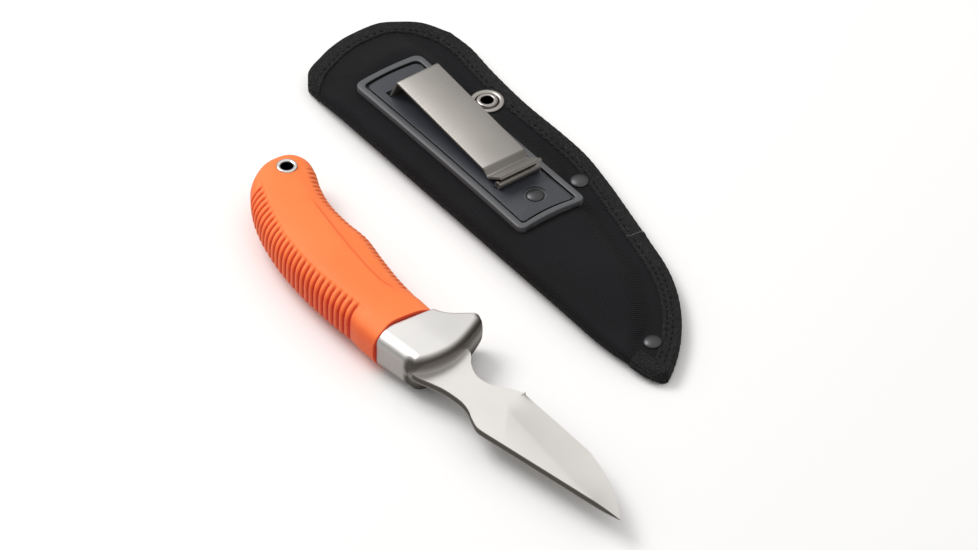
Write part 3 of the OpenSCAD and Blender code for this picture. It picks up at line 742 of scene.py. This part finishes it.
def pouch_heights(p):
    """Heights of the pouch's lower and upper faces at plan points p."""
    x, y = p[..., 0].ravel(), p[..., 1].ravel()
    fold = distance(p, FOLD[::4])
    rise = smoothstep(9.5, 19.5, distance(p, SEWN))
    for at, radius, hollow in CLAMPS:
        rise *= smoothstep(radius - 0.5, hollow, np.hypot(x - at.x, y - at.y))
    # an empty pouch lies nearly shut at its mouth, and thins towards its tip
    rise *= 0.22 + 0.78 * smoothstep(1.0, 23.0, distance(p, MOUTH[::3]))
    rise *= 1 - 0.4 * smoothstep(172, 206, x)
    thick = SEAM_T + (POUCH_T - SEAM_T) * rise
    near = np.clip(fold / (thick / 2), 0, 1)
    turn = np.sqrt(np.clip(1 - (1 - near) ** 2, 0, 1))
    # it is slightly puffed and wavy, but flat under the plate
    free = 1 - (smoothstep(22, 34, x) * (1 - smoothstep(132, 142, x))
                * smoothstep(4, 10, y) * (1 - smoothstep(40, 47, y)))
    puff = 0.7 * rise ** 2 * smoothstep(0, 14, fold) * free
    sway = 0.16 * np.sin(x * 0.11 + 0.05 * y) * np.sin(y * 0.13 + 0.7)
    sway *= free * smoothstep(2, 12, fold)
    top = thick / 2 * (1 + turn) + (puff + sway) * rise
    low = thick / 2 * (1 - turn)
    return low.reshape(p.shape[:-1]), top.reshape(p.shape[:-1])


def make_pouch_layer(name, near, far, material, node, stations, across):
    """One folded layer of the pouch between two depths: a C-shaped section swept down the pouch."""
    s = np.linspace(0, 0.992, stations)
    t = (1 - np.cos(np.linspace(0, math.pi, across))) / 2
    s_grid, t_grid = np.meshgrid(s, t, indexing="ij")
    point = FOLD[-1] + np.linspace(0, 1, 9)[:, None] * (SEAM[-1] - FOLD[-1])
    plan = coons(FOLD, SEAM, MOUTH, point, s_grid, t_grid)
    low, top = pouch_heights(plan)
    fold = distance(plan, FOLD[::4]).reshape(low.shape)

    def skin(depth):
        half = np.clip((top - low) / 2 - depth, 0, None)
        centre = (top + low) / 2
        shift = depth * np.clip(1 - fold / (POUCH_T / 2), 0, 1)
        moved = plan + np.stack([0 * shift, shift], -1)
        upper = np.dstack([moved, centre + half])
        lower = np.dstack([moved, centre - half])
        return np.concatenate([upper[:, ::-1], lower], axis=1)

    outer, inner = skin(near), skin(far)[:, ::-1]
    verts, faces = loft(np.concatenate([outer, inner], axis=1), cap=False)
    m = outer.shape[1]
    for row in (0, stations - 1):
        base = row * 2 * m
        faces += [(base + k, base + k + 1, base + 2 * m - 2 - k, base + 2 * m - 1 - k)
                  for k in range(m - 1)]
    obj = piece(name, (verts, faces), "sheath", material, node)
    cut(obj, "sheath", rod(EYELET, 3.2, -5, 15))
    shade(obj.data, 70)


# distances from the sewn edge at which the tape's sections have their points
INSET = np.array([6.5, 6.42, 6.2, 5.7, 5.2, 4.85, 4.6, 4.35, 4.0, 3.3, 2.5, 1.7, 1.0, 0.5, 0.2])
STITCH_INSET = 4.6
SECOND_INSET = 2.5
STITCH_PITCH = 3.4


def eased_normals(path, spread):
    """Outward normals of the sheath's outline, smoothed along it so that insets can't cross,
    and the length along the path."""
    along = lengths(path)
    weight = np.exp(-((along[:, None] - along[None]) / spread) ** 2)
    mean = weight @ normals(path)
    return mean / np.linalg.norm(mean, axis=1)[:, None], along


def inset_plan(path, out, insets):
    """The plan points that lie at insets from a path, a row for each of the path's points."""
    return path[:, None] - out[:, None] * insets[None, :, None]


def tape_sections(path, out, columns):
    """Closed sections of tape from columns of (how far outwards, height)."""
    offset = np.concatenate([np.broadcast_to(o, z.shape) for o, z in columns], 1)
    height = np.concatenate([z for _, z in columns], 1)
    return np.dstack([path[:, None] + out[:, None] * offset[..., None], height])


def tape_thickness(plan, along):
    """The tape's thickness over the fabric: rounded at its edge, drawn down along the stitches,
    puckered between them, and pressed flat under the eyelet and the rivets."""
    thick = 0.12 + 0.62 * smoothstep(6.55, 6.1, INSET)[None] + 0 * along[:, None]
    pull = 0.5 + 0.5 * np.cos(2 * math.pi * along / STITCH_PITCH)[:, None]
    thick -= (0.14 + 0.3 * pull) * np.exp(-((INSET[None] - STITCH_INSET) / 0.5) ** 2)
    second = smoothstep(174, 180, plan[..., 0])
    thick -= second * (0.1 + 0.42 * (1 - pull)) * np.exp(-((INSET[None] - SECOND_INSET) / 0.6) ** 2)
    thick += 0.1 * np.sin(along * 1.1)[:, None] * np.sin(INSET * 0.9 + along[:, None] * 0.35)
    for at, radius, _ in CLAMPS:
        away = np.hypot(plan[..., 0] - at.x, plan[..., 1] - at.y)
        thick *= smoothstep(radius - 0.3, radius + 1.3, away)
    return np.maximum(thick, 0.02)


TAPE_LOW = 0.8


def wrapped_tape(path, begin, step=0.0, spread=4.0):
    """Closed sections of tape folded over a sewn edge, from one face of the sheath to the other.
    begin is the tape's length before this path, and step lifts its start over the tape before."""
    out, along = eased_normals(path, spread)
    plan = inset_plan(path, out, INSET)
    low, top = pouch_heights(plan)
    low0, top0 = pouch_heights(path)
    over = step * np.exp(-(along / 3.0) ** 2)[:, None]
    along = along + begin
    thick = tape_thickness(plan, along)
    upper = top + thick + over
    lower = low - np.minimum(thick, TAPE_LOW)
    high, deep = top0[:, None] + 0.7 + over, low0[:, None] - 0.7
    turn = np.radians(np.linspace(6, 174, 13))[None]
    bulge = (0.8 + 0.5 * over) * np.sin(turn) ** 0.5 + 0.05 * np.sin(along * 1.7)[:, None]
    edge_z = (high + deep) / 2 + (high - deep) / 2 * np.cos(turn)
    # the section closes inside the fabric, from its lower inner edge to its upper one
    inner = np.array([6.3, 3.0, 0.3])
    inner_low, inner_top = pouch_heights(inset_plan(path, out, inner))
    return tape_sections(path, out, [(-INSET, upper), (bulge, edge_z),
                                     (-INSET[::-1], lower[:, ::-1]), (-inner, inner_low + 0.2),
                                     (-inner[::-1], (inner_top - 0.2)[:, ::-1])])


def lipped_tape(path, side):
    """Closed sections of tape over the rim of one wall of the open mouth."""
    out, along = eased_normals(path, 4.0)
    # at the fold the tape's edge turns to run square with it
    square = np.exp(-(along / 7.0) ** 2)[:, None]
    out = out * (1 - square) + np.array([-1.0, 0.0]) * square
    out /= np.linalg.norm(out, axis=1)[:, None]
    plan = inset_plan(path, out, INSET)
    low, top = pouch_heights(plan)
    low0, top0 = pouch_heights(path)
    face, rim = (top, top0[:, None]) if side > 0 else (-low, -low0[:, None])
    end = rim - np.minimum(WALL_T + 0.05, (top0 - low0) / 2)[:, None]
    thick = tape_thickness(plan, along)
    if side < 0:
        thick = np.minimum(thick, TAPE_LOW)
    shoulder = rim + 0.7
    edge_n = np.array([0.3, 0.58, 0.74, 0.78, 0.78, 0.62, 0.0])
    edge_z = np.concatenate([shoulder - 0.04, shoulder - 0.2, shoulder - 0.55,
                             (shoulder - 0.55 + end) / 2, end + 0.12, end, end], 1)
    inner = np.array([0.3, 3.0, 6.3])
    inner_low, inner_top = pouch_heights(inset_plan(path, out, inner))
    inner_face = (inner_top if side > 0 else -inner_low) - 0.2
    return tape_sections(path, out, [(-INSET, side * (face + thick)), (edge_n, side * edge_z),
                                     (-inner, side * inner_face)])


# where the mouth's tape ends and where the tip's tape starts, in x
MOUTH_END = 70.6
TAPE_JOINT = 157.0


def make_tapes():
    """Binding tape: round the open mouth, down the seam, and round the tip."""
    first, second = np.searchsorted(SEAM[:, 0], [MOUTH_END, TAPE_JOINT])
    on_fold = FOLD[::-1][(FOLD[::-1, 0] > 212.5) & (FOLD[::-1, 0] < 223.5)]
    round_tip = np.vstack([SEAM[second:], [[225.7, 8.6], [224.9, 6.9]], on_fold])
    mouth_length = lengths(MOUTH)[-1]
    first_length = mouth_length + lengths(SEAM[:first + 1])[-1]
    second_length = first_length + lengths(SEAM[first:second + 1])[-1]
    mouth = join([loft(lipped_tape(MOUTH, 1)), loft(lipped_tape(MOUTH, -1)),
                  loft(wrapped_tape(resample(SEAM[:first + 1], 90), mouth_length))])
    seam = loft(wrapped_tape(resample(SEAM[first:second + 1], 150), first_length))
    rows = wrapped_tape(resample(round_tip, 200), second_length, step=0.35, spread=7.0)
    # the cut end that lies over the tape before it shows as a grey line
    cut_end = np.zeros(rows.shape[:2])
    cut_end[0, :len(INSET) + 4] = 0.8
    for name, skin, tones in (("mouth", mouth, None), ("seam", seam, None),
                              ("tip", loft(rows), cut_end.ravel())):
        piece(name + "_tape", skin, "sheath", TAPE, name + "_binding", sharp=75, tones=tones)


def stitch(at, direction, height):
    """One thread lying on the tape, its ends drawn down into it."""
    half, radius = 1.15, 0.24
    t = np.array([-1, -0.85, -0.45, 0, 0.45, 0.85, 1])
    girth = np.array([0.2, 0.7, 1, 1, 1, 0.7, 0.2]) * radius
    dip = -0.16 * np.abs(t) ** 3 * np.sign(height - SEAM_T / 2)
    a = np.linspace(0, 2 * math.pi, 8, endpoint=False)[:, None]
    side = np.array([-direction[1], direction[0]])
    return loft([np.column_stack([at + direction * k * half + side * g * np.cos(a),
                                  height + d + g * np.sin(a)]) for k, g, d in zip(t, girth, dip)])


def make_stitches():
    """The thread that holds the tape, on both faces: one row, and two towards the tip."""
    parts = []
    for path, inset, shift in ((np.vstack([MOUTH[6:-1], SEAM]), STITCH_INSET, 0.0),
                               (SEAM[SEAM[:, 0] > 176], SECOND_INSET, 1.7)):
        out, along = eased_normals(path, 4.0)
        line = path - out * inset
        for k in range(int((along[-1] - shift) / STITCH_PITCH)):
            place = shift + (k + 0.5) * STITCH_PITCH
            at, ahead = look_up(line, along, np.array([place, place + 0.5]))
            if any(np.hypot(at[0] - c.x, at[1] - c.y) < r + 1.4 for c, r, _ in CLAMPS):
                continue
            direction = (ahead - at) / np.linalg.norm(ahead - at)
            low, top = pouch_heights(at[None])
            parts += [stitch(at, direction, height) for height in (top[0] + 0.42, low[0] - 0.42)]
    piece("tape_stitches", join(parts), "sheath", THREAD, "binding_thread", sharp=60)


def make_eyelet():
    """The rolled eyelet through the sewn margin, and the ring it is clenched into in front."""
    rolled = [(3.15, 0), (6.5, 0), (6.65, 0.16), (6.62, 0.5), (6.4, 0.82), (6.0, 1.0), (5.5, 1.04),
              (5.0, 0.94), (4.62, 0.7), (4.42, 0.3), (4.18, 0.28), (4.05, 0.75), (3.9, 1.1),
              (3.6, 1.32), (3.1, 1.38), (2.72, 1.33), (2.5, 1.18), (2.41, 0.95), (2.4, 0.3)]
    barrel = [(2.4, -0.62), (3.15, -0.62)] + [(r, SEAM_T + up) for r, up in rolled]
    # painted shade, dark in its throat and in the groove round it
    recess_shade = [float(r < 2.42 or 4.1 < r < 4.5) for r, _ in barrel]
    sides = 96
    piece("eyelet_rolled", lathe(barrel, sides, EYELET), "sheath", NICKEL, "eyelet_barrel",
          sharp=50, tones=np.repeat(recess_shade, sides))
    ring = [(3.25, -0.02), (3.25, -0.45), (3.5, -0.64), (4.6, -0.64), (5.2, -0.52), (6.3, -0.5),
            (6.6, -0.36), (6.65, -0.02)]
    piece("eyelet_ring", lathe(ring, sides, EYELET), "sheath", NICKEL, "eyelet_washer", sharp=50)


# heights of the plate's seat and of its panel, the clip's middle line, and two rivets in plan
PLATE_Z = POUCH_T
PANEL_Z = 10.7
CLIP_Y = 26.8
PLATE_RIVETS = ((60.0, 25.2), (121.4, CLIP_Y))
SHANK_R = 1.5


def domed(radius, height, z, foot=None):
    """A rivet head with a softened rim, hollow under it or with a shank down to foot."""
    dome = ((0, 1), (0.3, 0.96), (0.6, 0.83), (0.82, 0.63), (0.95, 0.38), (1, 0.16), (0.985, 0))
    head = [(radius * across, z + height * up) for across, up in dome]
    if foot is None:
        return head + [(SHANK_R + 0.02, z), (SHANK_R + 0.02, z + 0.4), (0, z + 0.4)]
    return head + [(SHANK_R, z), (SHANK_R, foot), (0, foot)]


def make_rivets():
    """Caps and posts of the two seam rivets, and the two rivets through the plate."""
    post = [(0, -0.64), (3.3, -0.64), (3.65, -0.52), (3.75, -0.3), (3.7, -0.02),
            (SHANK_R, -0.02), (SHANK_R, SEAM_T + 0.38), (0, SEAM_T + 0.38)]
    places = [at for at, _, _ in CLAMPS[1:]]
    piece("seam_rivet_heads", join([lathe(domed(3.75, 1.5, SEAM_T), at=at) for at in places]),
          "sheath", GUNMETAL, "seam_rivet_caps", sharp=60)
    piece("seam_rivet_feet", join([lathe(post, at=at) for at in places]), "sheath", GUNMETAL,
          "seam_rivet_posts", sharp=50)
    foot = POUCH_T - WALL_T - 0.9
    heads = [lathe(domed(3.0, 0.5, PANEL_Z, foot), 48, (*PLATE_RIVETS[0], 0)),
             lathe(domed(3.6, 1.2, PANEL_Z - 0.6, foot), 64, (*PLATE_RIVETS[1], 0))]
    piece("plate_rivet_heads", join(heads), "sheath", GUNMETAL, "plate_rivets", sharp=60)


def plate_outline(inset):
    """The plate's plan: bowed at the mouth end, hollow at the other, with rounded corners."""
    lo = np.array([30.3 + inset, 9.95 + inset])
    hi = np.array([135.3 - inset, 40.45 - inset])
    corners = np.array([lo, [lo[0], hi[1]], hi, [hi[0], lo[1]]])
    bows = [(-1.9, 0), (0, -1.0), (-2.6, 0), (0, 1.0)]
    radius = max(3.6 - 0.45 * inset, 1.6)

    def bend(a, middle, b, t):
        return (1 - t) ** 2 * a + 2 * t * (1 - t) * middle + t ** 2 * b

    sides = []
    for k in range(4):
        a, b = corners[k], corners[(k + 1) % 4]
        trim = radius / np.linalg.norm(b - a)
        sides.append(bend(a, (a + b) / 2 + bows[k], b, np.linspace(trim, 1 - trim, 40)[:, None]))
    loop = []
    for k in range(4):
        following = (k + 1) % 4
        loop += [sides[k], bend(sides[k][-1], corners[following], sides[following][0],
                                np.linspace(0, 1, 12)[1:-1, None])]
    return np.vstack(loop)


def make_plate():
    """The moulded backing plate: a raised rim, a groove, and a panel with its two slots."""
    seat = PLATE_Z - PANEL_Z
    # insets from the outline, and heights over the panel
    levels = [(0.25, seat), (0.02, seat + 0.25), (0, 0.1), (0.12, 0.34), (0.4, 0.5), (2.2, 0.5),
              (2.46, 0.4), (2.6, 0.2), (2.66, -0.75), (2.75, -0.8), (3.45, -0.8), (3.54, -0.75),
              (3.58, -0.2), (3.68, -0.04), (3.85, 0)]
    loops = [np.insert(plate_outline(inset), 2, PANEL_Z + up, axis=1) for inset, up in levels]
    # painted highlight on the raised rim and painted shade in the groove
    tones = [1.0 if inset < 2.55 else -1.0 if inset < 3.65 else 0.0 for inset, _ in levels]
    obj = piece("plate_moulded", loft(loops), "sheath", PLATE, "clip_plate", sharp=40,
                tones=np.repeat(tones, len(loops[0])))
    half, above = 9.9, 14

    def opening(x0, x1, z0, z1):
        return box_mesh((x0, CLIP_Y - half, z0), (x1, CLIP_Y + half, z1))

    slots = [opening(40.8, 44.4, PLATE_Z - 1, above), opening(108.7, 110.4, PLATE_Z - 1, above)]
    channel = opening(41.2, 110.0, PLATE_Z - 1.2, PLATE_Z + 1.15)
    recess = rod(PLATE_RIVETS[1], 4.5, PANEL_Z - 0.6, above)
    holes = [rod(at, SHANK_R + 0.05, 5, above) for at in PLATE_RIVETS]
    for cutters in (slots, [channel], holes[:1], [recess], holes[1:]):
        cut(obj, "sheath", *cutters)
    shade(obj.data, 40)


def filleted(points, radii):
    """A path through points with each inner corner rounded."""
    p = [np.array(q, float) for q in points]
    out = [p[0]]
    for a, b, c, r in zip(p, p[1:], p[2:], radii):
        into, onward = (b - a) / np.linalg.norm(b - a), (c - b) / np.linalg.norm(c - b)
        half = math.acos(np.clip(into @ onward, -1, 1)) / 2
        side = np.array([-into[1], into[0]]) * np.sign(into[0] * onward[1] - into[1] * onward[0])
        centre = b - into * r * math.tan(half) + side * r
        for k in np.linspace(0, 2 * half, 9):
            out.append(centre - side * r * math.cos(k) + into * r * math.sin(k))
    out.append(p[-1])
    return np.array(out)


CLIP_T = 1.1
CLIP_W = 19.0


def spring_strip(path, name, node, tones, rides=True):
    """Spring steel of constant thickness bent along a path in X and Z, its edges eased."""
    half_w, half_t, ease = CLIP_W / 2, CLIP_T / 2, 0.2
    profile = []
    for a, b in ((-1, 1), (1, 1), (1, -1), (-1, -1)):
        corner = [(a * (half_w - ease * u), b * (half_t - ease * v))
                  for u, v in ((0, 1), (0.3, 0.3), (1, 0))]
        profile += corner if a * b < 0 else corner[::-1]
    loops = [[(x + nx * h, CLIP_Y + w, z + nz * h) for w, h in profile]
             for (x, z), (nx, nz) in zip(path, normals(path))]
    return piece(name, loft(loops), "sheath", CLIP_STEEL, node, sharp=50,
                 tones=np.repeat(tones, len(profile)), rides=rides)


def make_clip():
    """The belt clip is one bent strip. Its riser and front leaf, the springing part, make one piece
    from the top bend on, and its back leaf, under the plate, comes up through the second slot and
    curls over."""
    leaf_z = PLATE_Z + CLIP_T / 2
    bend_z = 19.7
    valley = PANEL_Z + CLIP_T / 2 + 0.4
    front = filleted([(46.2, leaf_z), (42.7, leaf_z), (47.6, bend_z), (101.6, valley + 2.6),
                      (104.0, valley + 0.05), (112.6, valley + 5.5)], [0.7, 1.25, 1.5, 1.2])
    # the last slope down to the plate gets painted shade, darker than the rest
    shaded_slope = [0.55 * float(101.2 < x < 104.2 and z < valley + 2.6) for x, z in front]
    leaf = spring_strip(front, "clip_spring", "clip_front_leaf", shaded_slope, rides=False)
    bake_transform(leaf)
    rise_x, curl_r = 109.55, 1.1
    curl = (rise_x + curl_r, PANEL_Z + 1.67)
    back = np.vstack([filleted([(46.3, leaf_z), (rise_x, leaf_z), (rise_x, curl[1] - 0.1)], [0.65]),
                      arc(curl, curl_r, 180, -95, 26)])
    # the back leaf, under the plate, gets a little painted shade all along
    spring_strip(back, "clip_anchor", "clip_back_leaf", [0.35] * len(back))


make_grip()
make_lanyard_tube()
make_blade()
make_bolster()
make_pouch_layer("pouch_cover", 0.0, 0.7, NYLON, "sheath_cover", 260, 70)
make_pouch_layer("pouch_padding", 0.72, 1.68, FOAM, "foam_padding", 120, 40)
make_pouch_layer("pouch_lining", 1.7, WALL_T, LINING, "sheath_lining", 120, 40)
make_tapes()
make_stitches()
make_eyelet()
make_rivets()
make_plate()
make_clip()

# ---- light, floor and camera ----


def make_floor():
    """White paper, which glossy surfaces see darker."""
    half = 6.0
    mesh = bpy.data.meshes.new("floor")
    mesh.from_pydata([(-half, -half, 0), (half, -half, 0), (half, half, 0), (-half, half, 0)], [],
                     [(0, 1, 2, 3)])
    s = Shader("floor_paper")
    path = s.add("ShaderNodeLightPath")
    tone = s.mix(path.outputs["Is Glossy Ray"], (0.92, 0.92, 0.92), (0.34, 0.33, 0.32))
    mesh.materials.append(s.finish(Base_Color=tone, Roughness=0.9))
    new_object("floor", mesh)


def area_light(name, at, target, size, watts):
    data = bpy.data.lights.new(name, "AREA")
    data.shape = "RECTANGLE"
    data.size, data.size_y = size
    data.energy = watts
    lamp = new_object(name, data)
    lamp.location = at
    lamp.rotation_euler = (Vector(target) - Vector(at)).to_track_quat("-Z", "Y").to_euler()


def make_world():
    """Bright overhead, darker towards the horizon, so that metal shows its form."""
    world = bpy.data.worlds.new("studio")
    bpy.context.scene.world = world
    world.use_nodes = True
    tree = world.node_tree
    coords = tree.nodes.new("ShaderNodeTexCoord")
    split = tree.nodes.new("ShaderNodeSeparateXYZ")
    ramp = tree.nodes.new("ShaderNodeValToRGB")
    tree.links.new(coords.outputs["Generated"], split.inputs[0])
    tree.links.new(split.outputs["Z"], ramp.inputs["Fac"])
    stops = ramp.color_ramp.elements
    stops[0].position, stops[0].color = 0.0, (0.2, 0.195, 0.19, 1)
    stops[1].position, stops[1].color = 1.0, (1, 0.99, 0.97, 1)
    for place, level in ((0.2, 0.3), (0.4, 0.5), (0.53, 0.7), (0.64, 0.96)):
        stop = stops.new(place)
        stop.color = (level, level * 0.985, level * 0.965, 1)
    tree.links.new(ramp.outputs["Color"], tree.nodes["Background"].inputs["Color"])
    tree.nodes["Background"].inputs["Strength"].default_value = 0.93


def make_camera():
    azimuth, elevation = math.radians(53.4), math.radians(40.5)
    # the width of the view and its place, in metres
    wide, right_shift, up_shift = 0.3636, -0.00358, 0.0032
    right = Vector((math.cos(azimuth), math.sin(azimuth), 0))
    back = Vector((math.sin(azimuth) * math.cos(elevation),
                   -math.cos(azimuth) * math.cos(elevation), math.sin(elevation)))
    data = bpy.data.cameras.new("camera")
    data.lens = 900
    camera = new_object("camera", data)
    away = wide * data.lens / data.sensor_width
    camera.location = right * right_shift + back.cross(right) * up_shift + back * away
    camera.rotation_euler = (-back).to_track_quat("-Z", "Y").to_euler()
    data.clip_start, data.clip_end = 0.5, 100
    bpy.context.scene.camera = camera


make_floor()
make_world()
area_light("key", (-0.9, -0.3, 1.1), (0, 0, 0), (0.9, 0.6), 11)
area_light("streak", (-0.73, -0.78, 0.54), (0, -0.06, 0), (0.8, 0.06), 0.1)
make_camera()
bpy.context.scene.view_settings.view_transform = "Standard"

# the CAD nodes take the same materials
CAD_NODES = ((BLADE_STEEL, "blade"), (BOLSTER_STEEL, "bolster"), (CORE, "handle_core"),
             (PIN_STEEL, "bolster_pins core_pins"), (RUBBER, "handle_grip"),
             (BRIGHT, "lanyard_tube"), (NYLON, "sheath_cover"), (FOAM, "foam_padding"),
             (LINING, "sheath_lining"), (LINER, "blade_liner"), (THREAD, "binding_thread"),
             (TAPE, "mouth_binding seam_binding tip_binding"), (PLATE, "clip_plate"),
             (NICKEL, "eyelet_barrel eyelet_washer plate_rivet_washers"),
             (GUNMETAL, "seam_rivet_posts seam_rivet_caps plate_rivets"),
             (CLIP_STEEL, "clip_back_leaf clip_front_leaf"))
for material, nodes in CAD_NODES:
    for node in nodes.split():
        mesh = frame["nodes"][node].data
        mesh.materials.clear()
        mesh.materials.append(material)
